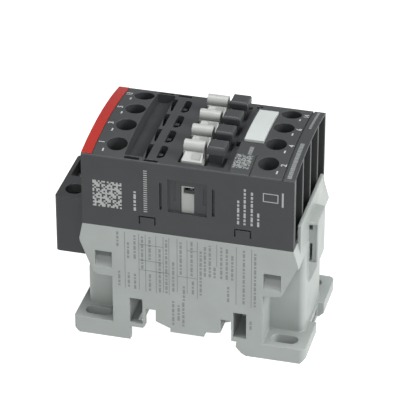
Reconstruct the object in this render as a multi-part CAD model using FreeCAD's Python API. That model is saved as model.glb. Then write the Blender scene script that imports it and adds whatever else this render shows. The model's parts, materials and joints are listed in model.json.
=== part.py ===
import FreeCAD, Part
import os

# DIN rail contactor, three main poles and one auxiliary pole, lying on its back.
# Millimetres. While modelling, x runs from the line end of the contact housing
# to the load end, y from the device's left side, z from the feet to the front.
# export() moves the origin to the middle of the footprint, at the feet.

# ---- driving dimensions -------------------------------------------------
WIDTH = 45.0                # standard 45 mm modular width
LENGTH = 86.0               # coil terminal block to load end feet
HOUSING = 69.4              # length of the contact housing
SPLIT_Z = 42.5              # where the contact housing sits on the magnet housing
FRONT_Z = 68.3              # front face at its long edges
CROWN = 2.2                 # rise of the arched front at mid width
POLE_PITCH = 10.7
POLE_SHIFT = 0.6            # the poles sit a little towards the right side
WALL = 1.8
TRAVEL = 4.5                # contact carrier stroke
CONTACT_GAP = 3.05          # opening between the contact tips
RUN_FIT = 0.05              # radial clearance of running fits
RAIL_SEAT_Z = 5.1           # top hat rail, 35 mm wide, seats here
FOOT_HOLE_X = 62.6          # slot spacing along x; the slots also suit 60 mm
FOOT_HOLE_Y = 35.0          # screw spacing along y
FOOT_HOLE_D = 4.5
FOOT_SLOT = 8.8             # end to end length of the slotted screw holes
FOOT_TOP_Z = 6.0            # top of the line end feet
HOOK_PITCH = 9.9            # accessory hooks on the front

# ---- derived dimensions -------------------------------------------------
MID_X = HOUSING / 2
MID_Y = WIDTH / 2
LINE_END = -12.1            # outer face of the coil terminal block
FOOT_END = LINE_END + LENGTH
POLES_Y = [MID_Y + POLE_SHIFT + (i - 1.5) * POLE_PITCH for i in range(4)]
HOOKS_Y = [MID_Y + (i - 1.5) * HOOK_PITCH for i in range(4)]
INSET = 10.05               # terminal screw axis from the housing's end
WELL_R = 3.35
CHAMBER = POLE_PITCH - 1.4  # clear width of one pole
STRIP_Z = 50.0              # underside of the fixed contacts
STRIP_T = 1.0
TIP_T = 0.7
TIP_TOP_Z = STRIP_Z + STRIP_T + TIP_T
BRIDGE_Z = TIP_TOP_Z + CONTACT_GAP + TIP_T
BRIDGE_T = 1.2
SCREW_R = 1.75              # M3.5 terminal screws
CLAMP_LIFT = 4.5            # clamp above the strip with the screw opened
ZONE_X0 = 19.6              # flat accessory zone of the front
ZONE_X1 = 48.2
PEGS_Y = [20.3, 36.0]       # pegs of the marker plate
SLOT_X0 = 31.0              # slot that the contact carrier slides in
SLOT_X1 = 40.0
CARRIER_X0 = 31.7
CARRIER_X1 = 37.7
PLATE_Z = 43.0              # underside of the carrier's foot plate
PLATE_T = 2.0
WINDOW_TOP_Z = 64.0         # top of the carrier's windows
POLE_FACE_Z = 30.5          # pole faces of the fixed core
CORE_X0 = MID_X - 7.0
CORE_X1 = MID_X + 7.0
BOBBIN_TOP_Z = POLE_FACE_Z - 0.3
CLIP_Y0 = 17.6
CLIP_Y1 = 27.4
COIL_Y = [MID_Y - 7.5, MID_Y + 7.5]
COIL_X = -7.0
COIL_STRIP_Z = 33.0
COIL_STRIP_T = 0.8
COIL_LIFT = 4.7
COLUMN_X = 71.2             # load end of the column between the load end feet
STRIP_X = 3.4               # width of the coloured edge strip


# ---- helpers ------------------------------------------------------------
def box(x0, x1, y0, y1, z0, z1):
    return Part.makeBox(x1 - x0, y1 - y0, z1 - z0, FreeCAD.Vector(x0, y0, z0))


def rod_z(x, y, z0, z1, r):
    return Part.makeCylinder(r, z1 - z0, FreeCAD.Vector(x, y, z0))


def rod_x(y, z, x0, x1, r):
    return Part.makeCylinder(r, x1 - x0, FreeCAD.Vector(x0, y, z), FreeCAD.Vector(1, 0, 0))


def prism_y(points, y0, y1):
    """Polygon of (x, z) points, extruded along y."""
    corners = [FreeCAD.Vector(x, y0, z) for x, z in points]
    face = Part.Face(Part.makePolygon(corners + corners[:1]))
    return face.extrude(FreeCAD.Vector(0, y1 - y0, 0))


def prism_x(points, x0, x1):
    """Polygon of (y, z) points, extruded along x."""
    corners = [FreeCAD.Vector(x0, y, z) for y, z in points]
    face = Part.Face(Part.makePolygon(corners + corners[:1]))
    return face.extrude(FreeCAD.Vector(x1 - x0, 0, 0))


def join(shapes):
    return shapes[0].fuse(shapes[1:]).removeSplitter()


def flip_x(shape):
    """Mirror from the line end to the load end."""
    return shape.mirror(FreeCAD.Vector(MID_X, 0, 0), FreeCAD.Vector(1, 0, 0))


def flip_y(shape):
    """Mirror from the left side to the right side."""
    return shape.mirror(FreeCAD.Vector(0, MID_Y, 0), FreeCAD.Vector(0, 1, 0))


def both_ends(shape):
    return [shape, flip_x(shape)]


def both_sides(shape):
    return [shape, flip_y(shape)]


def coil_spring(x, y, z0, z1, r, wire, turns):
    """Helical compression spring along z, overall height z0 to z1."""
    height = z1 - z0 - 2 * wire
    helix = Part.makeHelix(height / turns, height, r)
    start = Part.Circle(FreeCAD.Vector(r, 0, 0), FreeCAD.Vector(0, 1, 0), wire).toShape()
    coil = Part.Wire(helix.Edges).makePipeShell([Part.Wire(start)], True, True)
    return coil.translated(FreeCAD.Vector(x, y, z0 + wire))


def export(name, shape):
    to_origin = FreeCAD.Vector(-(LINE_END + FOOT_END) / 2, -MID_Y, 0)
    shape.translated(to_origin).exportStep("parts/%s.step" % name)


# ---- contact housing ----------------------------------------------------
def arched(offset, x0, x1):
    """Solid under the arched front, its surface moved by offset along z."""
    top = FRONT_Z + offset
    bevel = 0.35
    start = FreeCAD.Vector(x0, bevel, top)
    crest = FreeCAD.Vector(x0, MID_Y, top + CROWN)
    end = FreeCAD.Vector(x0, WIDTH - bevel, top)
    low = [(WIDTH, top - bevel), (WIDTH, SPLIT_Z), (0, SPLIT_Z), (0, top - bevel)]
    corners = [end] + [FreeCAD.Vector(x0, y, z) for y, z in low] + [start]
    edges = [Part.Arc(start, crest, end).toShape()]
    edges += Part.makePolygon(corners).Edges
    return Part.Face(Part.Wire(edges)).extrude(FreeCAD.Vector(x1 - x0, 0, 0))


def front_skin(x0, x1, y0, y1, low, high):
    """Plate that follows the arched front, between two offsets from it."""
    block = box(x0, x1, y0, y1, SPLIT_Z, FRONT_Z + CROWN + 5)
    return block.common(arched(high, x0, x1)).cut(arched(low, x0 - 1, x1 + 1))


def terminal_space(y):
    """Clamp space, pit and screw well of one line terminal."""
    clamp_space = box(2, 16.0, y - 4.2, y + 4.2, STRIP_Z, 62.5)
    pit = box(5.4, 14.7, y - 4.2, y + 4.2, 43.9, STRIP_Z + 1)
    strip_slot = box(15, 18, y - 3.25, y + 3.25, STRIP_Z, STRIP_Z + STRIP_T + 0.1)
    well = rod_z(INSET, y, 62, 75, WELL_R)
    return [clamp_space, pit, strip_slot, well]


def wire_channel(y, skin):
    """Open channel above and below one wire entry, up to a skin under the front."""
    half = CHAMBER / 2
    return box(-1, 2.4, y - half, y + half, 44.0, 75.0).common(arched(-skin, -1, 2.4))


def arc_space(y):
    """Space around the contacts of one pole."""
    half = CHAMBER / 2
    upper = box(17.2, SLOT_X0 + 1, y - half, y + half, STRIP_Z, 63.8)
    lower = box(24.6, MID_X + 1, y - half, y + half, 45, STRIP_Z + 1)
    tip_room = box(17.2, 24.7, y - 3.25, y + 3.25, STRIP_Z, STRIP_Z + 2)
    return [upper, lower, tip_room]


def trough(y0, y1):
    """Cross trough of the front: steep wall, then a hollow floor that rises to the flat zone."""
    edge = FreeCAD.Vector(13.4, y0, 80)
    foot = FreeCAD.Vector(13.8, y0, 65.2)
    bottom = FreeCAD.Vector(16.9, y0, 65.5)
    rim = FreeCAD.Vector(ZONE_X0, y0, FRONT_Z)
    corner = FreeCAD.Vector(ZONE_X0, y0, 80)
    floor = Part.Arc(foot, bottom, rim).toShape()
    walls = Part.makePolygon([rim, corner, edge, foot]).Edges
    return Part.Face(Part.Wire([floor] + walls)).extrude(FreeCAD.Vector(0, y1 - y0, 0))


def accessory_slots():
    """Tapered slots and round-cornered holes that accessories clip into."""
    low = 62.0
    up = FreeCAD.Vector(0, 0, 10)
    cuts = []
    for y in HOOKS_Y:
        near = 2.2 if y == HOOKS_Y[0] else y - 4.1
        taper = [(20.4, near), (21.0, near), (21.0, y + 3.9), (19.0, y + 3.9)]
        corners = [FreeCAD.Vector(x, v, low) for x, v in taper]
        cuts.append(Part.Face(Part.makePolygon(corners + corners[:1])).extrude(up))
        hole = box(23.7, 26.1, y - 4.15, y + 3.85, low, low + 10)
        corners = [e for e in hole.Edges if e.BoundBox.ZLength > 5 and e.BoundBox.XMin > 26.0]
        latch = box(23.0, 25.0, y - 0.7, y + 0.5, low, 67.2)
        cuts.append(hole.makeFillet(1.9, corners).cut(latch))
    return cuts


def side_window():
    """Recess, viewing window, room for the flag and guide slots on the left side."""
    recess = box(28.4, 41.2, -1, 0.8, 50.9, 63.1)
    window = box(32.4, 36.9, -1, WALL + 1, 50.9, 60.9)
    relief = box(32.2, 37.9, 1.2, WALL + 1, 45.9, 62.0)
    cuts = [recess, window, relief]
    for x, z0, z1, w in [(26.1, 51.5, 61.5, 0.8), (30.2, 55.0, 62.7, 1.1),
                         (40.5, 54.9, 60.7, 1.2), (43.3, 51.5, 61.5, 0.9)]:
        cuts.append(box(x - w / 2, x + w / 2, -1, 1.0, z0, z1))
    return cuts


def snap_outline(x0, x1):
    """Groove over a snap tab near the foot of the left side."""
    groove = 0.5
    left = box(x0, x0 + groove, -1, 0.9, 45.2, 48.2)
    right = box(x1 - groove, x1, -1, 0.9, 45.2, 48.2)
    top = box(x0, x1, -1, 0.9, 48.2 - groove, 48.2)
    return [left, right, top]


def accessory_block(y):
    """Fixed mushroom block beside one moving hook."""
    neck = box(40.2, 44.7, y - 1.4, y + 1.4, 66.0, 72.6)
    cap = box(39.9, 45.8, y - 2.95, y + 2.95, 71.3, 74.0)
    rims = [e for e in cap.Edges if e.BoundBox.ZMin > 73.9]
    return neck.fuse(cap.makeFillet(1.0, rims))


def edge_band(high, x0, x1):
    """Arched layer over the line end of the front, short of both sides."""
    layer = arched(high, x0, x1).cut(arched(-1.2, x0 - 1, x1 + 1))
    return layer.common(box(x0, x1, 0.6, WIDTH - 0.6, 60, 80))


def upper_housing():
    body = arched(0, 0, HOUSING)
    cuts = [box(ZONE_X0, ZONE_X1, -1, WIDTH + 1, FRONT_Z, 80)]
    for y in POLES_Y:
        for space in terminal_space(y) + arc_space(y):
            cuts += both_ends(space)
        cuts.append(wire_channel(y, 1.7))
        cuts.append(flip_x(wire_channel(y, 0.6)))
    cuts.append(box(20.8, HOUSING - 20.8, WALL, WIDTH - WALL, SPLIT_Z - 1, 46.2))
    cuts.append(box(SLOT_X0, SLOT_X1, WALL, WIDTH - WALL, SPLIT_Z - 1, 66.4))
    cuts.append(box(SLOT_X0, SLOT_X1, 2.6, WIDTH - 2.6, 63, 80))
    cuts.append(trough(2.3, WIDTH - 2.3))
    cuts.append(box(SLOT_X1 - 0.1, 45.9, 2.6, WIDTH - 2.6, 67.2, 80))
    cuts.append(box(45.9, 47.6, 16.8, 19.9, 62, 80))
    cuts.append(box(47.0, 49.2, WIDTH - 3.2, WIDTH - 2.0, 66, 80))
    cuts += accessory_slots()
    cuts.append(edge_band(3, -1, STRIP_X + 0.1))
    cuts.append(arched(3, 65.3, 65.8).cut(arched(-0.5, 65, 66)))
    cuts.append(arched(3, 54.6, 55.0).cut(arched(-0.4, 54, 56)).common(box(54, 56, -1, 10.5, 60, 80)))
    for y in PEGS_Y:
        cuts.append(box(51.4, 53.8, y - 1.1, y + 1.1, 66.2, 80))
    for side in side_window() + snap_outline(18.8, 24.4) + snap_outline(50.1, 55.7):
        cuts += both_sides(side)
    for x0, x1 in [(13.9, 18.9), (20.3, 24.9)]:
        cuts += both_sides(box(x0, x1, 0.7, 1.9, 64.5, 80))
    body = body.cut(cuts)
    return join([body] + [accessory_block(y) for y in HOOKS_Y])


def front_strip():
    return edge_band(0.2, 0, STRIP_X)


def marker_plate():
    plate = front_skin(49.1, 55.4, 16.9, 37.8, 0.05, 1.0)
    pegs = [front_skin(51.6, 53.6, y - 0.9, y + 0.9, -2.2, 0.5) for y in PEGS_Y]
    return join([plate] + pegs)


# ---- magnet housing -----------------------------------------------------
def base_outline():
    """Side outline with the rail slot between the feet, as (x, z) points."""
    line_end = [(0, SPLIT_Z), (-1.2, 36.8), (-1.0, 35.5), (1.8, 28.2), (0.9, 24.6), (-0.5, 21.6)]
    line_column = [(-1.2, 19.2), (-1.2, FOOT_TOP_Z)]
    line_foot = [(-3.7, FOOT_TOP_Z), (-3.7, 1.7), (-1.9, 0), (15.4, 0), (15.4, RAIL_SEAT_Z)]
    arch_a = [(19.7, RAIL_SEAT_Z), (20.4, 6.0), (20.4, 9.4), (22.5, 9.4), (25.0, 8.1), (29.0, 6.5)]
    tongue = [(29.0, RAIL_SEAT_Z), (40.3, RAIL_SEAT_Z), (40.4, 6.9)]
    arch_b = [(44.5, 7.3), (47.3, 8.2), (49.4, 9.4), (49.4, RAIL_SEAT_Z), (51.1, RAIL_SEAT_Z)]
    load_foot = [(50.9, 3.0), (52.7, 0.9), (54.3, 0), (72.2, 0), (FOOT_END, 1.7), (FOOT_END, 5.4)]
    load_end = [(COLUMN_X, 5.4), (COLUMN_X, 36.4), (HOUSING + 0.1, SPLIT_Z)]
    return line_end + line_column + line_foot + arch_a + tongue + arch_b + load_foot + load_end


def line_notch():
    """Corner notch over the left foot of the line end, the column beside it rounded."""
    r = 2.0
    overhang = [(-5, 28.2), (1.8, 28.2), (2.4, 26.7), (3.2, 24.6), (4.4, 23.7), (9.6, 23.7)]
    notch = prism_y(overhang + [(9.6, FOOT_TOP_Z), (-5, FOOT_TOP_Z)], -1, 8.4)
    corner = box(-2, -1.2 + r, 8.3, 8.4 + r, FOOT_TOP_Z, 26)
    return notch.fuse(corner.cut(rod_z(-1.2 + r, 8.4 + r, 5, 27, r)))


def load_notch():
    """Corner notch over the left foot of the load end, the column beside it rounded."""
    notch = prism_y([(59.7, 5.4), (59.7, 24.0), (65.7, 24.8), (70.7, 36.0), (80, 36.0), (80, 5.4)], -1, 10.2)
    corner = box(COLUMN_X - 2, COLUMN_X + 1, 10.1, 12.2, 5.4, 36.0)
    return notch.fuse(corner.cut(rod_z(COLUMN_X - 2, 12.2, 5, 37, 2.0)))


def ramp_window(x0, x1):
    """Small window above a foot, with a ramp for its floor."""
    return prism_x([(-1, 32.8), (4.2, 32.8), (4.2, 30.5), (2.4, 29.6), (0, 26.5), (-1, 26.5)], x0, x1)


def foot_slot(x, y):
    """Slotted screw hole through one foot, its long way along x."""
    r = FOOT_HOLE_D / 2
    half = FOOT_SLOT / 2 - r
    middle = box(x - half, x + half, y - r, y + r, -1, 8)
    return join([middle] + [rod_z(x + s * half, y, -1, 8, r) for s in (-1, 1)])


def foot_corners():
    """Waste at the corners of both left feet, rounded in plan."""
    load = box(FOOT_END - 2, 80, -5, 2, -1, 6).cut(rod_z(FOOT_END - 2, 2, -2, 7, 2.0))
    line = box(-5, -2.7, -5, 1, -1, 7).cut(rod_z(-2.7, 1, -2, 8, 1.0))
    return [load, line]


def foot_hollows():
    """Space behind the side wall of the line end foot and of the rail seat over it."""
    return [box(12.0, 16, 2.0, 7.8, -1, RAIL_SEAT_Z), box(17.5, 21, 2.0, 12.0, 5, 9.4)]


def rail_pockets():
    """Side pockets over the rail's edges, and the notches beside them."""
    cuts = [box(15.3, 19.6, -1, 13, 6.6, 16.2)]
    cuts.append(box(50.0, 54.3, -1, 13, 6.6, 16.2))
    cuts.append(box(20.6, 24.1, -1, 6, 8, 12.8))
    cuts.append(box(45.8, 49.3, -1, 6, 7, 12.8))
    return cuts


def coil_key(top):
    """Hollow-sided guide key at the load end that a coil terminal block plugs over."""
    tip = 73.9
    profile = [(69.5, 20.5), (71.2, 21.5), (72.2, 23.2), (tip, 28.2), (tip, top), (69.5, top)]
    body = prism_y(profile, 14.9, 27.5)
    for y0, y1, slant in [(14.9, 10, 1.5), (27.5, 32, -1.5)]:
        corners = [FreeCAD.Vector(x, y, 20) for x, y in ((69.5, y0), (75, y0 + slant), (75, y1), (69.5, y1))]
        side = Part.Face(Part.makePolygon(corners + corners[:1])).extrude(FreeCAD.Vector(0, 0, 30))
        body = body.cut(side)
    recess = box(70.9, tip - 0.6, 14, 16.4, 29.3, top - 1.0)
    upper = box(70.9, 72.0, 14, 20.5, top - 3.3, top - 1.0)
    lower = box(70.9, 72.0, 14, 20.5, 29.5, 36.0)
    return body.cut([recess, upper, lower])


def rail_hook(y0, y1):
    """Fixed nose under one edge of the rail."""
    return prism_y([(15.0, 1.2), (15.9, 1.2), (17.0, 2.3), (17.0, 3.9), (15.0, 3.9)], y0, y1)


def base_housing():
    body = prism_y(base_outline(), 0, WIDTH)
    adds = [box(HOUSING + 0.1, 70.6, 5.3, 38.5, 30, 49.0), box(-1.2, -0.1, 10.5, 34.5, 34, 41.5)]
    adds += [coil_key(44.5), rail_hook(8, 15), rail_hook(30, 37)]
    body = join([body] + adds)
    cuts = [box(11.2, 58.0, 2.0, WIDTH - 2.0, 17.8, 50)]
    cuts.append(box(25.0, HOUSING - 25.0, 2.0, WIDTH - 2.0, 13.2, 20))
    for shape in [line_notch(), load_notch(), ramp_window(3.9, 9.6), ramp_window(59.8, 65.5)]:
        cuts += both_sides(shape)
    for shape in rail_pockets():
        cuts += both_sides(shape)
    cuts.append(box(71.8, 80, 17.0, 28.3, -1, 6))
    for shape in foot_corners() + foot_hollows():
        cuts += both_sides(shape)
    cuts.append(box(50.0, 80, CLIP_Y0 - 0.1, CLIP_Y1 + 0.1, 1.1, 4.05))
    cuts.append(box(54.4, 68.2, 20.0, 25.0, 4, 8.6))
    for y in COIL_Y:
        cuts.append(box(-3, 12, y - 3.05, y + 3.05, COIL_STRIP_Z - 0.05, COIL_STRIP_Z + 0.85))
    for x in [MID_X - FOOT_HOLE_X / 2, MID_X + FOOT_HOLE_X / 2]:
        for y in [MID_Y - FOOT_HOLE_Y / 2, MID_Y + FOOT_HOLE_Y / 2]:
            cuts.append(foot_slot(x, y))
    return body.cut(cuts)


# ---- coil terminal block ------------------------------------------------
def coil_terminal_block():
    body = box(LINE_END, -1.4, 9.0, 36.0, 24.7, 45.3)
    uprights = [e for e in body.Edges if e.BoundBox.ZLength > 10 and e.BoundBox.XMax < -10]
    body = body.makeFillet(1.2, uprights)
    cuts = [rod_z(COIL_X, COIL_Y[0], 40, 50, 3.1)]
    cuts.append(box(-10.7, -3.4, COIL_Y[1] - 7.1, COIL_Y[1] + 3.6, 41, 50))
    for y in COIL_Y:
        cuts.append(box(-10.9, -1, y - 4.1, y + 4.1, COIL_STRIP_Z, 42.2))
        cuts.append(box(-10.0, -3.8, y - 4.1, y + 4.1, 26.8, COIL_STRIP_Z + 1))
        cuts.append(box(-13, -10.5, y - 3.6, y + 3.6, COIL_STRIP_Z + COIL_STRIP_T, 40.2))
    return body.cut(cuts)


def coil_contact(y):
    """Coil terminal strip, from its screw to the control board."""
    strip = box(-10.6, 12.3, y - 3.0, y + 3.0, COIL_STRIP_Z, COIL_STRIP_Z + COIL_STRIP_T)
    collar = rod_z(COIL_X, y, COIL_STRIP_Z - 2.2, COIL_STRIP_Z + 0.5, 2.6)
    hole = rod_z(COIL_X, y, COIL_STRIP_Z - 5, COIL_STRIP_Z + 5, SCREW_R + RUN_FIT)
    return join([strip, collar]).cut(hole)


# ---- terminals and contacts ---------------------------------------------
def fixed_contact(y):
    """Line side contact strip with a threaded collar and a silver tip."""
    strip = box(3.0, 24.4, y - 3.2, y + 3.2, STRIP_Z, STRIP_Z + STRIP_T)
    collar = rod_z(INSET, y, STRIP_Z - 2.6, STRIP_Z + 0.5, 2.7)
    tip = box(20.4, 24.2, y - 2.0, y + 2.0, STRIP_Z + 0.5, TIP_TOP_Z)
    hole = rod_z(INSET, y, STRIP_Z - 5, STRIP_Z + 5, SCREW_R + RUN_FIT)
    return join([strip, collar, tip]).cut(hole)


def screw(x, y, seat_z, shank):
    """Terminal screw with a cross recess, its head seated at seat_z."""
    head = rod_z(x, y, seat_z, seat_z + 2.2, 3.0)
    rim = [e for e in head.Edges if abs(e.BoundBox.ZMin - seat_z - 2.2) < 0.01]
    head = head.makeFillet(0.5, rim)
    body = head.fuse(rod_z(x, y, seat_z - shank, seat_z + 1, SCREW_R))
    slot_a = box(x - 2.3, x + 2.3, y - 0.45, y + 0.45, seat_z + 1.0, seat_z + 3)
    slot_b = box(x - 0.45, x + 0.45, y - 2.3, y + 2.3, seat_z + 1.0, seat_z + 3)
    return body.cut([slot_a, slot_b])


def clamp(x, y, z, half_y):
    """Captive pressure plate with turned-down lips, underside at z."""
    plate = box(x - 3.7, x + 3.7, y - half_y, y + half_y, z, z + 1.1)
    ribs = [box(x - 3.7, x + 3.7, y + s * 2.9 - 0.35, y + s * 2.9 + 0.35, z - 0.35, z + 0.5) for s in (-1, 1)]
    hole = rod_z(x, y, z - 2, z + 3, SCREW_R + RUN_FIT)
    return join([plate] + ribs).cut(hole)


def moving_contact(y):
    """Bridge with two silver tips and a seat for its spring."""
    bar = box(20.0, HOUSING - 20.0, y - 2.5, y + 2.5, BRIDGE_Z, BRIDGE_Z + BRIDGE_T)
    tips = both_ends(box(20.2, 24.0, y - 2.0, y + 2.0, BRIDGE_Z - TIP_T, BRIDGE_Z + 0.3))
    dimple = rod_z(MID_X, y, BRIDGE_Z + 0.5, BRIDGE_Z + BRIDGE_T + 0.8, 1.1)
    return join([bar, dimple] + tips)


# ---- moving carrier and magnet ------------------------------------------
def hook(y):
    """Accessory hook: round cap on a post with a sloping, hollowed foot."""
    cap = rod_x(y, 72.1, 32.1, 38.9, 1.9)
    post = box(33.1, 38.9, y - 1.3, y + 1.3, 68.0, 72.0)
    foot = prism_x([(y - 4.8, 68.0), (y - 4.8, 68.9), (y - 1.9, 70.9), (y, 70.9), (y, 68.0)], 32.1, 38.7)
    recess = prism_x([(y - 4.2, 68.5), (y - 1.8, 71.1), (y - 4.2, 71.1)], 35.0, 38.0)
    taper = prism_y([(31, 75), (31, 68.9), (32.1, 68.9), (33.2, 72), (33.2, 75)], y - 4.9, y - 1.9)
    foot = foot.cut([recess, taper])
    return join([cap, post, foot])


def position_flag():
    """Pad on the carrier's left side that shows through the window."""
    return box(32.6, 37.2, 1.3, 2.2, 50.6, 61.0)


def flag_hollow():
    """Hollow near the top of the position flag, open towards the load end."""
    return box(33.3, 38.0, 1, 4.6, 58.0, 60.2)


def contact_carrier():
    body = box(CARRIER_X0, CARRIER_X1, 2.1, WIDTH - 2.1, PLATE_Z, 66.0)
    rail = box(32.0, 38.9, 3.0, WIDTH - 3.0, WINDOW_TOP_Z, 68.9)
    plate = box(21.5, HOUSING - 21.5, 8.0, 37.0, PLATE_Z, PLATE_Z + PLATE_T)
    lugs = both_ends(box(26.0, CORE_X0 - 0.1, 19.0, 26.0, 37.9, PLATE_Z + 1))
    flags = both_sides(position_flag())
    body = join([body, rail, plate] + lugs + flags + [hook(y) for y in HOOKS_Y])
    cuts = [box(30, 42, y - 3.3, y + 3.3, BRIDGE_Z, WINDOW_TOP_Z) for y in POLES_Y]
    cuts += both_sides(flag_hollow())
    cuts.append(rod_x(MID_Y, 40.0, 20, 50, 1.55))
    body = body.cut(cuts)
    bosses = [rod_z(MID_X, y, WINDOW_TOP_Z - 0.9, WINDOW_TOP_Z + 0.5, 1.1) for y in POLES_Y]
    return join([body] + bosses)


def e_core(yoke_low, yoke_high, leg_z):
    """E-shaped lamination stack, its legs running along z to leg_z."""
    low = min(yoke_low, leg_z)
    high = max(yoke_high, leg_z)
    yoke = box(CORE_X0, CORE_X1, 4.5, WIDTH - 4.5, yoke_low, yoke_high)
    legs = both_sides(box(CORE_X0, CORE_X1, 4.5, 10.0, low, high))
    centre = box(CORE_X0, CORE_X1, MID_Y - 5.5, MID_Y + 5.5, low, high)
    return join([yoke, centre] + legs)


def armature():
    stack = e_core(37.4, PLATE_Z - 0.5, POLE_FACE_Z + TRAVEL + 0.1)
    return stack.cut(rod_x(MID_Y, 40.0, 20, 50, 1.5 + RUN_FIT))


def armature_pin():
    return rod_x(MID_Y, 40.0, 26.2, HOUSING - 26.2, 1.5)


def armature_pad():
    return box(CORE_X0, CORE_X1, 9.0, 36.0, PLATE_Z - 0.5, PLATE_Z)


def magnet_core():
    return e_core(14.4, 19.4, POLE_FACE_Z)


def core_pad():
    return box(CORE_X0 + 0.3, CORE_X1 - 0.3, 4.8, WIDTH - 4.8, 13.2, 14.4)


def coil_bobbin():
    inner = box(CORE_X0 - 0.2, CORE_X1 + 0.2, MID_Y - 5.7, MID_Y + 5.7, 10, 40)
    tube = box(CORE_X0 - 1.2, CORE_X1 + 1.2, MID_Y - 6.7, MID_Y + 6.7, 19.6, BOBBIN_TOP_Z)
    low = box(21.8, HOUSING - 21.8, 10.6, WIDTH - 10.6, 19.6, 20.6)
    top = box(20.6, HOUSING - 20.6, 10.6, WIDTH - 10.6, BOBBIN_TOP_Z - 1.0, BOBBIN_TOP_Z)
    return join([tube, low, top]).cut(inner)


def coil_winding():
    block = box(22.4, HOUSING - 22.4, 11.2, WIDTH - 11.2, 20.6, BOBBIN_TOP_Z - 1.0)
    uprights = [e for e in block.Edges if e.BoundBox.ZLength > 5]
    block = block.makeFillet(4.0, uprights)
    return block.cut(box(CORE_X0 - 1.2, CORE_X1 + 1.2, MID_Y - 6.7, MID_Y + 6.7, 10, 40))


# ---- control electronics ------------------------------------------------
def control_board():
    return box(12.3, 13.9, 5.0, 40.0, 19.0, 41.0)


def board_components():
    capacitor = rod_x(12.5, 27.0, 13.9, 20.0, 4.0)
    chips = [box(13.9, 15.4, 20.0, 26.0, 22.0, 27.0), box(13.9, 16.0, 29.0, 36.0, 21.0, 26.5)]
    relay = box(13.9, 18.5, 20.0, 30.0, 33.5, 39.5)
    return Part.makeCompound([capacitor] + chips + [relay])


def coil_pins():
    z = BOBBIN_TOP_Z - 0.5
    return Part.makeCompound([rod_x(MID_Y + s * 3, z, 13.9, 20.6, 0.45) for s in (-1, 1)])


# ---- rail clip ----------------------------------------------------------
def rail_clip():
    """Sprung jaw under the rail's load side edge, with a slot for a screwdriver."""
    blade = prism_y([(50.6, 1.2), (49.5, 2.4), (49.5, 3.9), (71.2, 3.9), (71.2, 1.2)], CLIP_Y0, CLIP_Y1)
    lug = box(54.6, 56.2, 20.4, 24.6, 3.5, 8.2)
    slot = box(68.6, 69.8, 20.0, 25.0, 0, 6)
    return join([blade, lug]).cut(slot)


def rail_clip_spring():
    spring = coil_spring(0, 0, 0, 12.0, 1.6, 0.3, 7)
    spring.rotate(FreeCAD.Vector(0, 0, 0), FreeCAD.Vector(0, 1, 0), 90)
    return spring.translated(FreeCAD.Vector(56.2, MID_Y, 6.3))


# ---- export -------------------------------------------------------------
os.makedirs("parts", exist_ok=True)

export("base_housing", base_housing())
export("upper_housing", upper_housing())
export("front_strip", front_strip())
export("marker_plate", marker_plate())
export("coil_terminal_block", coil_terminal_block())
export("contact_carrier", contact_carrier())
export("armature", armature())
export("armature_pin", armature_pin())
export("armature_pad", armature_pad())
export("magnet_core", magnet_core())
export("core_pad", core_pad())
export("coil_bobbin", coil_bobbin())
export("coil_winding", coil_winding())
export("control_board", control_board())
export("board_components", board_components())
export("coil_pins", coil_pins())
export("rail_clip", rail_clip())
export("rail_clip_spring", rail_clip_spring())

clamp_z = STRIP_Z + STRIP_T + CLAMP_LIFT
for number, y in enumerate(POLES_Y, 1):
    line_side = {
        "contact": fixed_contact(y),
        "clamp": clamp(INSET, y, clamp_z, 3.8),
        "screw": screw(INSET, y, clamp_z + 1.1, 8.4),
    }
    for kind, shape in line_side.items():
        export("line_%s_%d" % (kind, number), shape)
        export("load_%s_%d" % (kind, number), flip_x(shape))
    export("moving_contact_%d" % number, moving_contact(y))
    spring_z = BRIDGE_Z + BRIDGE_T
    export("contact_spring_%d" % number,
           coil_spring(MID_X, y, spring_z, WINDOW_TOP_Z, 1.75, 0.28, 5))

coil_clamp_z = COIL_STRIP_Z + COIL_STRIP_T + COIL_LIFT
for number, y in enumerate(COIL_Y, 1):
    export("coil_contact_%d" % number, coil_contact(y))
    export("coil_clamp_%d" % number, clamp(COIL_X, y, coil_clamp_z, 3.7))
    export("coil_screw_%d" % number, screw(COIL_X, y, coil_clamp_z + 1.1, 8.0))

for number, (x, y) in enumerate([(24.0, 13.6), (HOUSING - 24.0, WIDTH - 13.6)], 1):
    export("return_spring_%d" % number,
           coil_spring(x, y, BOBBIN_TOP_Z, PLATE_Z, 2.1, 0.35, 6))
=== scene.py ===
import json
import math

import bpy
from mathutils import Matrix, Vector


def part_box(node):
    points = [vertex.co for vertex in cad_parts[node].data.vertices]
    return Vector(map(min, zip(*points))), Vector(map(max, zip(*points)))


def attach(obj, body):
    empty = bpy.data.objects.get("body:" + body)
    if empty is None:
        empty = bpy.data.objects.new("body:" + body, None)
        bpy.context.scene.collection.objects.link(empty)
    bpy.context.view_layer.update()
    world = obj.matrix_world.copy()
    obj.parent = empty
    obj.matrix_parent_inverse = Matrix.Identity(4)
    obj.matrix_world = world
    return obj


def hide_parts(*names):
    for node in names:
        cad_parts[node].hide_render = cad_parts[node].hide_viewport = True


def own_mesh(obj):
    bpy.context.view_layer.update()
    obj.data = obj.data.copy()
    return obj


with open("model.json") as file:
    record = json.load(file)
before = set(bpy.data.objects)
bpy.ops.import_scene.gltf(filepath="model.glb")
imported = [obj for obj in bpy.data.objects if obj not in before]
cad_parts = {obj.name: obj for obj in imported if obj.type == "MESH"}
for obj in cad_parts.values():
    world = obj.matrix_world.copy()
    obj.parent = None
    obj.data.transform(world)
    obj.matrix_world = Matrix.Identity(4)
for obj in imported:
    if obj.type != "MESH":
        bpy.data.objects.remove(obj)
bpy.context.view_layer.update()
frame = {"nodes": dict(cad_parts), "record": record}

# Looks for the DIN rail contactor. Metres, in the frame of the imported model:
# +X towards the load terminals, +Y to the right side, +Z out of the panel.
MM = 0.001
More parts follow.
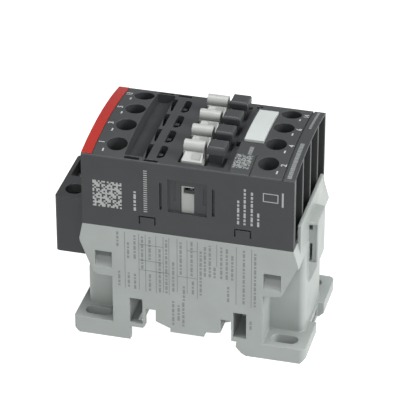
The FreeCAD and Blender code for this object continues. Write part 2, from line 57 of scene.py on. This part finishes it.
NODES = frame["nodes"]
LINE_END, LEFT_FACE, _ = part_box("upper_housing")[0]
FRONT_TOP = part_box("upper_housing")[1][2]
POLES = (1, 2, 3, 4)
ALONG_X = 0                 # index of an axis
ALONG_Z = 2
INK = 0.012 * MM            # half the thickness of the printing

# Colours of the mouldings and metals
PALE_GREY = (0.260, 0.281, 0.270)
DARK_GREY = (0.031, 0.033, 0.0345)
RED = (0.25, 0.018, 0.014)
WHITE = (0.33, 0.355, 0.345)
IVORY = (0.275, 0.282, 0.272)
BLACK = (0.02, 0.02, 0.022)
ZINC = (0.46, 0.46, 0.43)
SPRING_STEEL = (0.48, 0.48, 0.50)
COPPER_ALLOY = (0.62, 0.37, 0.23)


# ---- shader helpers -----------------------------------------------------
def new_material(name):
    """Material with its node tree and its Principled shader."""
    material = bpy.data.materials.new(name)
    material.use_nodes = True
    tree = material.node_tree
    return material, tree, tree.nodes["Principled BSDF"]


def feed(tree, shader, socket, value):
    """Link a value to a named socket of the shader."""
    tree.links.new(value, shader.inputs[socket])


def place_coords(tree, stretch=(1, 1, 1)):
    """Position on the object in metres, stretched per axis."""
    coords = tree.nodes.new("ShaderNodeTexCoord")
    mapping = tree.nodes.new("ShaderNodeMapping")
    mapping.inputs["Scale"].default_value = stretch
    tree.links.new(coords.outputs["Object"], mapping.inputs["Vector"])
    return mapping.outputs["Vector"]


def noise(tree, feature, detail=2.0, stretch=(1, 1, 1)):
    """Noise value whose blobs are about `feature` metres across."""
    node = tree.nodes.new("ShaderNodeTexNoise")
    node.inputs["Scale"].default_value = 1.0 / feature
    node.inputs["Detail"].default_value = detail
    tree.links.new(place_coords(tree, stretch), node.inputs["Vector"])
    return node.outputs["Fac"]


def stripes(tree, pitch, axis):
    """Even stripes `pitch` metres apart along an axis."""
    node = tree.nodes.new("ShaderNodeTexWave")
    node.bands_direction = axis
    node.inputs["Scale"].default_value = math.pi / (10 * pitch)
    node.inputs["Distortion"].default_value = 0.0
    tree.links.new(place_coords(tree), node.inputs["Vector"])
    return node.outputs["Fac"]


def spread(tree, value, low, high, out_low=0.0, out_high=1.0):
    """Map a value from one range to another, clamped."""
    node = tree.nodes.new("ShaderNodeMapRange")
    node.inputs["From Min"].default_value = low
    node.inputs["From Max"].default_value = high
    node.inputs["To Min"].default_value = out_low
    node.inputs["To Max"].default_value = out_high
    tree.links.new(value, node.inputs["Value"])
    return node.outputs["Result"]


def multiply(tree, first, second):
    """Product of two values."""
    node = tree.nodes.new("ShaderNodeMath")
    node.operation = "MULTIPLY"
    tree.links.new(first, node.inputs[0])
    tree.links.new(second, node.inputs[1])
    return node.outputs["Value"]


def tint(color, factor):
    """Colour made brighter or darker, with full alpha."""
    return tuple(min(1.0, c * factor) for c in color) + (1.0,)


def mix_colors(tree, factor, first, second):
    """Blend two colours, or a colour socket and a colour, by a value."""
    node = tree.nodes.new("ShaderNodeMix")
    node.data_type = "RGBA"
    tree.links.new(factor, node.inputs["Factor"])
    for socket, color in ((node.inputs["A"], first), (node.inputs["B"], second)):
        if isinstance(color, tuple):
            socket.default_value = color
        else:
            tree.links.new(color, socket)
    return node.outputs["Result"]


def bump(tree, height, depth, strength, base=None):
    """Normal from a height value, over another normal if one is given."""
    node = tree.nodes.new("ShaderNodeBump")
    node.inputs["Distance"].default_value = depth
    node.inputs["Strength"].default_value = strength
    tree.links.new(height, node.inputs["Height"])
    if base:
        tree.links.new(base, node.inputs["Normal"])
    return node.outputs["Normal"]


def rounded_normal(tree, radius):
    """Normal that shows every edge rounded off at a radius."""
    node = tree.nodes.new("ShaderNodeBevel")
    node.samples = 6
    node.inputs["Radius"].default_value = radius
    return node.outputs["Normal"]


def edge_mask(tree, soft_normal):
    """Value near 1 where the rounded normal leaves the true one, at edges."""
    geometry = tree.nodes.new("ShaderNodeNewGeometry")
    dot = tree.nodes.new("ShaderNodeVectorMath")
    dot.operation = "DOT_PRODUCT"
    tree.links.new(soft_normal, dot.inputs[0])
    tree.links.new(geometry.outputs["Normal"], dot.inputs[1])
    return spread(tree, dot.outputs["Value"], 0.995, 0.86)


# ---- materials ----------------------------------------------------------
def moulded_plastic(name, color, roughness, edge=0.35 * MM, lift=1.35, mottle=0.05):
    """Moulded plastic: spark-eroded grain, faint mottling, and a painted highlight along the
    edges.

    `edge` is the rounding of the edges, `lift` how much brighter the painted
    highlight makes them, and `mottle` how far the colour wanders either way.
    """
    material, tree, shader = new_material(name)
    cloud = spread(tree, noise(tree, 11 * MM, 4.0), 0.3, 0.7)
    body = mix_colors(tree, cloud, tint(color, 1 - mottle), tint(color, 1 + mottle))
    soft = rounded_normal(tree, edge)
    edges = edge_mask(tree, soft)
    patchy = spread(tree, noise(tree, 1.8 * MM, 3.0), 0.35, 0.65, 0.25, 0.8)
    # Painted highlight: lighter colour along the edges, broken into patches.
    edge_highlight = multiply(tree, edges, patchy)
    feed(tree, shader, "Base Color", mix_colors(tree, edge_highlight, body, tint(color, lift)))
    smudge = noise(tree, 6 * MM, 3.0)
    handled = spread(tree, smudge, 0.3, 0.7, roughness - 0.05, roughness + 0.06)
    feed(tree, shader, "Roughness", handled)
    grain = noise(tree, 0.22 * MM, 3.0)
    feed(tree, shader, "Normal", bump(tree, grain, 0.02 * MM, 0.35, soft))
    shader.inputs["Specular IOR Level"].default_value = 0.3
    return material


def plated_metal(name, color, roughness, stretch=(1, 1, 6)):
    """Plated or drawn metal with fine directional scratches."""
    material, tree, shader = new_material(name)
    scratches = noise(tree, 0.6 * MM, 5.0, stretch)
    soft = rounded_normal(tree, 0.1 * MM)
    shade = spread(tree, noise(tree, 3 * MM, 3.0), 0.3, 0.7)
    metal = mix_colors(tree, shade, tint(color, 0.86), tint(color, 1.08))
    feed(tree, shader, "Base Color", metal)
    rubbed = spread(tree, scratches, 0.3, 0.7, roughness - 0.08, roughness + 0.12)
    feed(tree, shader, "Roughness", rubbed)
    feed(tree, shader, "Normal", bump(tree, scratches, 0.01 * MM, 0.3, soft))
    shader.inputs["Metallic"].default_value = 1.0
    return material


def laminated_steel():
    """Stack of punched sheets, half a millimetre each, with rust-proof oil."""
    material, tree, shader = new_material("laminated_steel")
    sheets = stripes(tree, 0.5 * MM, "X")
    stain = spread(tree, noise(tree, 4 * MM, 4.0), 0.35, 0.7)
    steel = mix_colors(tree, stain, (0.33, 0.33, 0.34, 1.0), (0.22, 0.20, 0.19, 1.0))
    feed(tree, shader, "Base Color", steel)
    feed(tree, shader, "Roughness", spread(tree, stain, 0.0, 1.0, 0.32, 0.5))
    feed(tree, shader, "Normal", bump(tree, sheets, 0.04 * MM, 0.6))
    shader.inputs["Metallic"].default_value = 1.0
    return material


def enamelled_copper():
    """Layers of fine enamelled wire, wound round the former."""
    material, tree, shader = new_material("enamelled_copper")
    turns = stripes(tree, 0.22 * MM, "Z")
    # Painted shade: the colour darkens between the turns of wire and brightens on them.
    shade = spread(tree, turns, 0.0, 1.0)
    copper = mix_colors(tree, shade, (0.20, 0.055, 0.02, 1.0), (0.62, 0.22, 0.08, 1.0))
    feed(tree, shader, "Base Color", copper)
    feed(tree, shader, "Normal", bump(tree, turns, 0.08 * MM, 0.8))
    shader.inputs["Metallic"].default_value = 0.8
    shader.inputs["Roughness"].default_value = 0.28
    shader.inputs["Coat Weight"].default_value = 0.6
    return material


def circuit_board():
    """Green solder mask over copper tracks."""
    cell = 2.5 * MM
    material, tree, shader = new_material("circuit_board")
    cells = tree.nodes.new("ShaderNodeTexVoronoi")
    cells.feature = "DISTANCE_TO_EDGE"
    cells.distance = "EUCLIDEAN"
    cells.inputs["Scale"].default_value = 1.0 / cell
    tree.links.new(place_coords(tree), cells.inputs["Vector"])
    track = spread(tree, cells.outputs["Distance"], 0.06, 0.1, 1.0, 0.0)
    mask = mix_colors(tree, track, (0.008, 0.09, 0.03, 1.0), (0.03, 0.22, 0.07, 1.0))
    feed(tree, shader, "Base Color", mask)
    feed(tree, shader, "Normal", bump(tree, track, 0.03 * MM, 0.6))
    shader.inputs["Roughness"].default_value = 0.25
    return material


def black_rubber():
    """Matt rubber with a dusty bloom."""
    material, tree, shader = new_material("black_rubber")
    bloom = spread(tree, noise(tree, 2.5 * MM, 5.0), 0.35, 0.75)
    rubber = mix_colors(tree, bloom, (0.012, 0.012, 0.012, 1.0), (0.035, 0.034, 0.032, 1.0))
    feed(tree, shader, "Base Color", rubber)
    feed(tree, shader, "Normal", bump(tree, noise(tree, 0.3 * MM, 3.0), 0.04 * MM, 0.5))
    shader.inputs["Roughness"].default_value = 0.82
    return material


def print_ink(name, color):
    """Pad-printed ink: thin, slightly broken and a little glossy."""
    material, tree, shader = new_material(name)
    cover = spread(tree, noise(tree, 0.3 * MM, 4.0), 0.3, 0.6)
    ink = mix_colors(tree, cover, tint(color, 0.75), tint(color, 1.0))
    feed(tree, shader, "Base Color", ink)
    feed(tree, shader, "Normal", bump(tree, cover, 0.01 * MM, 0.3))
    shader.inputs["Roughness"].default_value = 0.5
    return material


def make_materials():
    """Every material by the name of its slot, and the three inks."""
    return {
        "pale_grey_plastic": moulded_plastic("pale_grey_plastic", PALE_GREY, 0.42, edge=0.6 * MM),
        "dark_grey_plastic": moulded_plastic("dark_grey_plastic", DARK_GREY, 0.46, lift=1.9),
        "red_plastic": moulded_plastic("red_plastic", RED, 0.26, lift=1.25),
        "white_plastic": moulded_plastic("white_plastic", WHITE, 0.38, lift=1.1, mottle=0.02),
        "ivory_plastic": moulded_plastic("ivory_plastic", IVORY, 0.40, lift=1.15, mottle=0.03),
        "black_plastic": moulded_plastic("black_plastic", BLACK, 0.5, lift=1.8),
        "black_rubber": black_rubber(),
        "laminated_steel": laminated_steel(),
        "zinc_steel": plated_metal("zinc_steel", ZINC, 0.40),
        "spring_steel": plated_metal("spring_steel", SPRING_STEEL, 0.26),
        "copper_alloy": plated_metal("copper_alloy", COPPER_ALLOY, 0.38, stretch=(6, 1, 1)),
        "enamelled_copper": enamelled_copper(),
        "circuit_board": circuit_board(),
        "white_ink": print_ink("white_ink", (0.30, 0.31, 0.31)),
        "grey_ink": print_ink("grey_ink", (0.10, 0.11, 0.11)),
        "pale_ink": print_ink("pale_ink", (0.16, 0.172, 0.168)),
    }


def dress_nodes(materials):
    """Give every carried-over CAD node the full material of its slot."""
    slots = {entry["node"]: entry["material_slot"] for entry in frame["record"]["subparts"]}
    for name, node in NODES.items():
        for slot in node.material_slots:
            slot.material = materials[slots[name]]


# ---- printed marks ------------------------------------------------------
# Printing is laid out in millimetres, x from the contact housing's line end,
# y from the left side and z from the feet.
def on_left_side(x, z, lift):
    """Point over the flat left side."""
    return Vector((LINE_END + x * MM, LEFT_FACE - lift, z * MM))


def on_front(x, y, lift):
    """Point over the arched front, found by looking down on it."""
    start = Vector((LINE_END + x * MM, LEFT_FACE + y * MM, FRONT_TOP + 5 * MM))
    hit, point, normal, _ = NODES["upper_housing"].ray_cast(start, Vector((0, 0, -1)))
    if not hit:
        raise RuntimeError("no housing under (%.2f, %.2f)" % (x, y))
    return point + normal * lift


def printed(name, bars, place, material):
    """One piece of thin inked bars, each (u0, u1, v0, v1) on a surface."""
    quads = [(0, 1, 2, 3), (7, 6, 5, 4), (4, 5, 1, 0), (5, 6, 2, 1), (6, 7, 3, 2), (7, 4, 0, 3)]
    points = []
    faces = []
    for u0, u1, v0, v1 in bars:
        first = len(points)
        for lift in (-INK, INK):
            points += [place(u, v, lift) for u, v in ((u0, v0), (u1, v0), (u1, v1), (u0, v1))]
        faces += [[first + corner for corner in quad] for quad in quads]
    mesh = bpy.data.meshes.new(name)
    mesh.from_pydata(points, [], faces)
    mesh.materials.append(material)
    piece = bpy.data.objects.new(name, mesh)
    bpy.context.collection.objects.link(piece)
    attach(piece, "housing")


def dashes(start, end, seed, scale):
    """Broken line from start to end, standing for a line of print."""
    lengths = (1.3, 0.7, 1.0, 1.8, 0.8, 1.5)
    gap = 0.45 * scale
    shortest = 0.4 * scale
    spans = []
    while start < end - shortest:
        length = min(lengths[(seed + len(spans)) % len(lengths)] * scale, end - start)
        spans.append((start, start + length))
        start += length + gap
    return spans


def print_line(u, v0, v1, width, seed=0, scale=1.0):
    """One line of print that runs along v."""
    return [(u - width / 2, u + width / 2, a, b) for a, b in dashes(v0, v1, seed, scale)]


def woven_patch(u0, u1, v0, v1, cell):
    """Plain woven pattern that fills a rectangle."""
    bars = []
    rows = round((u1 - u0) / cell)
    columns = round((v1 - v0) / cell)
    for row in range(rows):
        for column in range(columns):
            if (row * 2 + column * 3 + row * column % 3) % 5 > 2:
                continue
            u = u0 + row * cell
            v = v0 + column * cell
            bars.append((u, u + cell, v, v + cell))
    return bars


def base_table():
    """Rules of the table on the magnet housing."""
    rule = 0.16
    top = 41.3
    upright = [(14.0, 20), (18.7, 20), (20.9, 19.5), (24.4, 19.5), (26.8, 20), (28.7, 19.5),
               (31.4, 21), (34.7, 21), (38.1, 19.5), (44.5, 33), (50.9, 19.5), (55.9, 19)]
    level = [(18.7, 26.8, 37.4), (18.7, 26.8, 31.4), (18.7, 28.7, 27.7),
             (34.7, 38.1, 37.5), (31.4, 38.1, 27.2)]
    bars = [(x - rule / 2, x + rule / 2, low, top) for x, low in upright]
    return bars + [(x0, x1, z - rule / 2, z + rule / 2) for x0, x1, z in level]


def base_rows():
    """Broken lines of print, (x, low, high), in the table and around it."""
    rows = [(11.6, 35.5, 41.0), (12.0, 20.5, 26.5), (15.1, 31.5, 37.5), (17.3, 31.5, 40.5),
            (15.2, 20.5, 26.0), (17.3, 20.0, 26.5), (19.8, 28.2, 40.8), (22.3, 32.0, 40.5),
            (22.3, 20.0, 27.0), (25.6, 20.0, 36.5), (27.8, 20.0, 41.0), (30.1, 21.0, 33.0),
            (32.6, 28.0, 40.5), (33.6, 18.0, 24.0), (36.2, 28.0, 41.0), (36.6, 21.0, 26.0),
            (39.2, 21.0, 38.5), (40.6, 28.5, 40.5), (42.2, 28.5, 40.5), (43.8, 28.5, 32.5),
            (46.0, 28.5, 40.5), (47.8, 28.5, 40.5), (49.6, 28.5, 38.0), (48.3, 20.0, 26.5),
            (53.4, 20.0, 40.5), (57.1, 19.5, 40.5), (30.0, 8.0, 18.0), (31.8, 10.0, 16.0),
            (33.4, 8.0, 17.4), (55.8, 10.5, 13.8)]
    bars = []
    for seed, (x, low, high) in enumerate(rows):
        bars += print_line(x, low, high, 0.75, seed)
    return bars


def tick_scale(x0, x1, z0, pitch, count):
    """Ladder of short level ticks that starts at z0."""
    half = 0.16             # half the height of a tick
    heights = [z0 + step * pitch for step in range(count)]
    return [(x0, x1, z - half, z + half) for z in heights]


def empty_frame(x0, x1, z0, z1):
    """Outline of a rectangle."""
    line = 0.3
    sides = [(x0, x0 + line, z0, z1), (x1 - line, x1, z0, z1)]
    inside = (x0 + line, x1 - line)
    return sides + [inside + (z0, z0 + line), inside + (z1 - line, z1)]


def side_print():
    """White print on the contact housing's left side."""
    bars = woven_patch(3.7, 13.3, 49.7, 59.3, 0.6)
    bars += print_line(17.6, 49.8, 57.0, 0.8)
    bars += tick_scale(20.5, 21.7, 50.0, 0.79, 20)
    for seed, (x, high) in enumerate(((51.4, 58.8), (53.5, 63.3), (55.8, 62.4), (57.9, 55.2))):
        bars += print_line(x, 50.0, high, 0.7, seed)
    bars += empty_frame(59.3, 64.3, 59.6, 62.8)
    bars.append((65.4, 66.0, 58.4, 63.6))
    return bars


def front_print():
    """Pale print on the arched front beside the load terminals."""
    fine = 0.4              # size of the print, 1 on the magnet housing
    bars = woven_patch(48.4, 53.7, 3.1, 9.7, 0.45)
    bars += print_line(52.4, 10.3, 14.5, 1.3, 0, fine)
    bars += print_line(67.4, 1.2, 20.0, 1.4, 2, fine)
    bars += print_line(67.4, 30.0, 44.0, 0.8, 3, fine)
    return bars


def terminal_number(text, x, y, material):
    """Number printed on the arched front beside a screw well."""
    point = on_front(x, y, 0.015 * MM)
    normal = (point - on_front(x, y, 0)).normalized()
    label = bpy.data.curves.new("number_" + text, "FONT")
    label.body = text
    label.size = 2.6 * MM
    label.align_x = "CENTER"
    label.align_y = "CENTER"
    label.extrude = INK
    label.offset = 0.05 * MM
    label.materials.append(material)
    piece = bpy.data.objects.new("number_" + text, label)
    bpy.context.collection.objects.link(piece)
    piece.location = point
    piece.rotation_euler = (0, math.atan2(normal.y, normal.z), math.pi / 2)
    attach(piece, "housing")


def terminal_marks(material):
    """Odd numbers on the line side, even ones on the load side, a dash by each."""
    number_out = 5.0        # from the screw's axis towards the housing's end
    dash_out = 3.6
    dash_half = 0.25        # half the width of a dash
    dash_span = (4.4, 3.0)  # its ends, from the screw's axis towards the left side
    bars = []
    for pole, line_text, load_text in zip(POLES, ("1", "3", "5", "13"), ("2", "4", "6", "14")):
        for end, text, side in (("line", line_text, -1), ("load", load_text, 1)):
            low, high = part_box("%s_screw_%d" % (end, pole))
            x = ((low[0] + high[0]) / 2 - LINE_END) / MM
            y = ((low[1] + high[1]) / 2 - LEFT_FACE) / MM
            terminal_number(text, x + side * number_out, y, material)
            dash_x = x + side * dash_out
            ends = (y - dash_span[0], y - dash_span[1])
            bars.append((dash_x - dash_half, dash_x + dash_half) + ends)
    printed("terminal_dashes", bars, on_front, material)


# ---- springs ------------------------------------------------------------
def spring_line(radius, height, turns, wire):
    """Points (angle, radius, rise) of a spring with a closed turn at each end."""
    steps = 20              # points to a turn
    free = height - 6 * wire
    points = []
    for step in range((turns + 2) * steps + 1):
        turn = step / steps
        closed = 2 * wire * (min(turn, 1.0) + max(turn - turns - 1, 0.0))
        opened = free * min(max(turn - 1, 0.0), turns) / turns
        points.append((2 * math.pi * turn, radius, wire + closed + opened))
    return points


def wire_mesh(name, line, wire, place):
    """Round wire swept along a spring line and closed at both ends."""
    sides = 8
    points = []
    for angle, radius, rise in line:
        for side in range(sides):
            around = 2 * math.pi * side / sides
            reach = radius + wire * math.cos(around)
            points.append(place(angle, reach, rise + wire * math.sin(around)))
    faces = [tuple(range(sides))]
    for ring in range(len(line) - 1):
        for side in range(sides):
            here = ring * sides
            after = (side + 1) % sides
            faces.append((here + side, here + sides + side, here + sides + after, here + after))
    faces.append(tuple(reversed(range(len(points) - sides, len(points)))))
    mesh = bpy.data.meshes.new(name)
    mesh.from_pydata(points, [], faces)
    mesh.shade_smooth()
    return mesh


def joint_travel(joint):
    """How far a joint slides from rest, in metres."""
    joints = {entry["name"]: entry for entry in frame["record"]["behaviour"]["joints"]}
    return max(abs(limit) for limit in joints[joint]["range_m"])


def spring(node, body, joint, along, turns, wire, steel):
    """Compression spring in place of a CAD one.

    `along` is the index of its axis and `wire` the radius of the wire.
    """
    low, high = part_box(node)
    height = high[along] - low[along]
    across = (along + 1) % 3
    third = (along + 2) % 3
    radius = (high[across] - low[across]) / 2 - wire

    def place(angle, reach, rise):
        """Point at an angle round the axis, a reach from it and a rise along it."""
        point = [0.0, 0.0, 0.0]
        point[along] = low[along] + rise
        point[across] = (low[across] + high[across]) / 2 + reach * math.cos(angle)
        point[third] = (low[third] + high[third]) / 2 + reach * math.sin(angle)
        return point

    name = node + "_wire"
    mesh = wire_mesh(name, spring_line(radius, height, turns, wire), wire, place)
    mesh.materials.append(steel)
    piece = bpy.data.objects.new(name, mesh)
    bpy.context.collection.objects.link(piece)
    travel = joint_travel(joint)
    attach(piece, body)
    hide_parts(node)
    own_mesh(piece)


def add_springs(steel):
    """Return springs, contact springs and the rail clip's spring."""
    for number in (1, 2):
        node = "return_spring_%d" % number
        spring(node, "housing", "carrier_slide", ALONG_Z, 5, 0.35 * MM, steel)
    for pole in POLES:
        node = "contact_spring_%d" % pole
        joint = "contact_%d_lift" % pole
        spring(node, "carrier", joint, ALONG_Z, 4, 0.28 * MM, steel)
    spring("rail_clip_spring", "housing", "rail_clip_slide", ALONG_X, 6, 0.3 * MM, steel)


# ---- studio -------------------------------------------------------------
def add_floor():
    """White paper that glows, so that no shadow shows on it."""
    mesh = bpy.data.meshes.new("floor")
    reach = 3.0
    corners = [(-reach, -reach, 0), (reach, -reach, 0), (reach, reach, 0), (-reach, reach, 0)]
    mesh.from_pydata(corners, [], [(0, 1, 2, 3)])
    floor = bpy.data.objects.new("floor", mesh)
    bpy.context.collection.objects.link(floor)
    material, tree, shader = new_material("floor_paper")
    fibres = spread(tree, noise(tree, 20 * MM, 3.0), 0.3, 0.7)
    paper = mix_colors(tree, fibres, (0.16, 0.16, 0.16, 1.0), (0.18, 0.18, 0.18, 1.0))
    feed(tree, shader, "Base Color", paper)
    shader.inputs["Roughness"].default_value = 0.9
    shader.inputs["Emission Color"].default_value = (1.0, 1.0, 1.0, 1.0)
    shader.inputs["Emission Strength"].default_value = 1.0
    mesh.materials.append(material)


def add_light(name, place, power):
    """Large round lamp that points at the middle of the contactor."""
    data = bpy.data.lights.new(name, "AREA")
    data.shape = "DISK"
    data.size = 0.5
    data.energy = power
    light = bpy.data.objects.new(name, data)
    bpy.context.collection.objects.link(light)
    light.location = place
    aim = Vector((0, 0, 35 * MM)) - Vector(place)
    light.rotation_euler = aim.to_track_quat("-Z", "Y").to_euler()


def add_studio():
    """Dim white surroundings with lamps overhead, at the load end and on the left."""
    scene = bpy.context.scene
    world = bpy.data.worlds.new("studio")
    world.use_nodes = True
    backdrop = world.node_tree.nodes["Background"]
    backdrop.inputs["Color"].default_value = (1.0, 1.0, 1.0, 1.0)
    backdrop.inputs["Strength"].default_value = 0.32
    scene.world = world
    scene.view_settings.view_transform = "Standard"
    add_light("key_light", (-0.05, -0.05, 0.9), 8.0)
    add_light("side_light", (0.8, -0.05, 0.5), 10.0)
    add_light("front_light", (0.15, -0.8, 0.35), 2.8)


def add_camera():
    """Long lens, from the left side, a little towards the load end."""
    azimuth = math.radians(14.55)
    elevation = math.radians(31.9)
    distance = 0.8883
    target = Vector((4.1, 0.0, 38.0)) * MM
    away = Vector((math.sin(azimuth) * math.cos(elevation),
                   -math.cos(azimuth) * math.cos(elevation),
                   math.sin(elevation)))
    data = bpy.data.cameras.new("camera")
    data.lens = 236.7
    data.sensor_width = 36.0
    data.shift_x = 0.0045
    data.shift_y = 0.0139
    camera = bpy.data.objects.new("camera", data)
    bpy.context.collection.objects.link(camera)
    camera.location = target + away * distance
    camera.rotation_euler = (-away).to_track_quat("-Z", "Y").to_euler()
    bpy.context.scene.camera = camera


materials = make_materials()
dress_nodes(materials)
add_springs(materials["spring_steel"])
terminal_marks(materials["white_ink"])
printed("side_print", side_print(), on_left_side, materials["white_ink"])
printed("front_print", front_print(), on_front, materials["pale_ink"])
printed("table_rules", base_table(), on_left_side, materials["grey_ink"])
printed("table_rows", base_rows(), on_left_side, materials["pale_ink"])
add_floor()
add_studio()
add_camera()

bpy.context.view_layer.update()
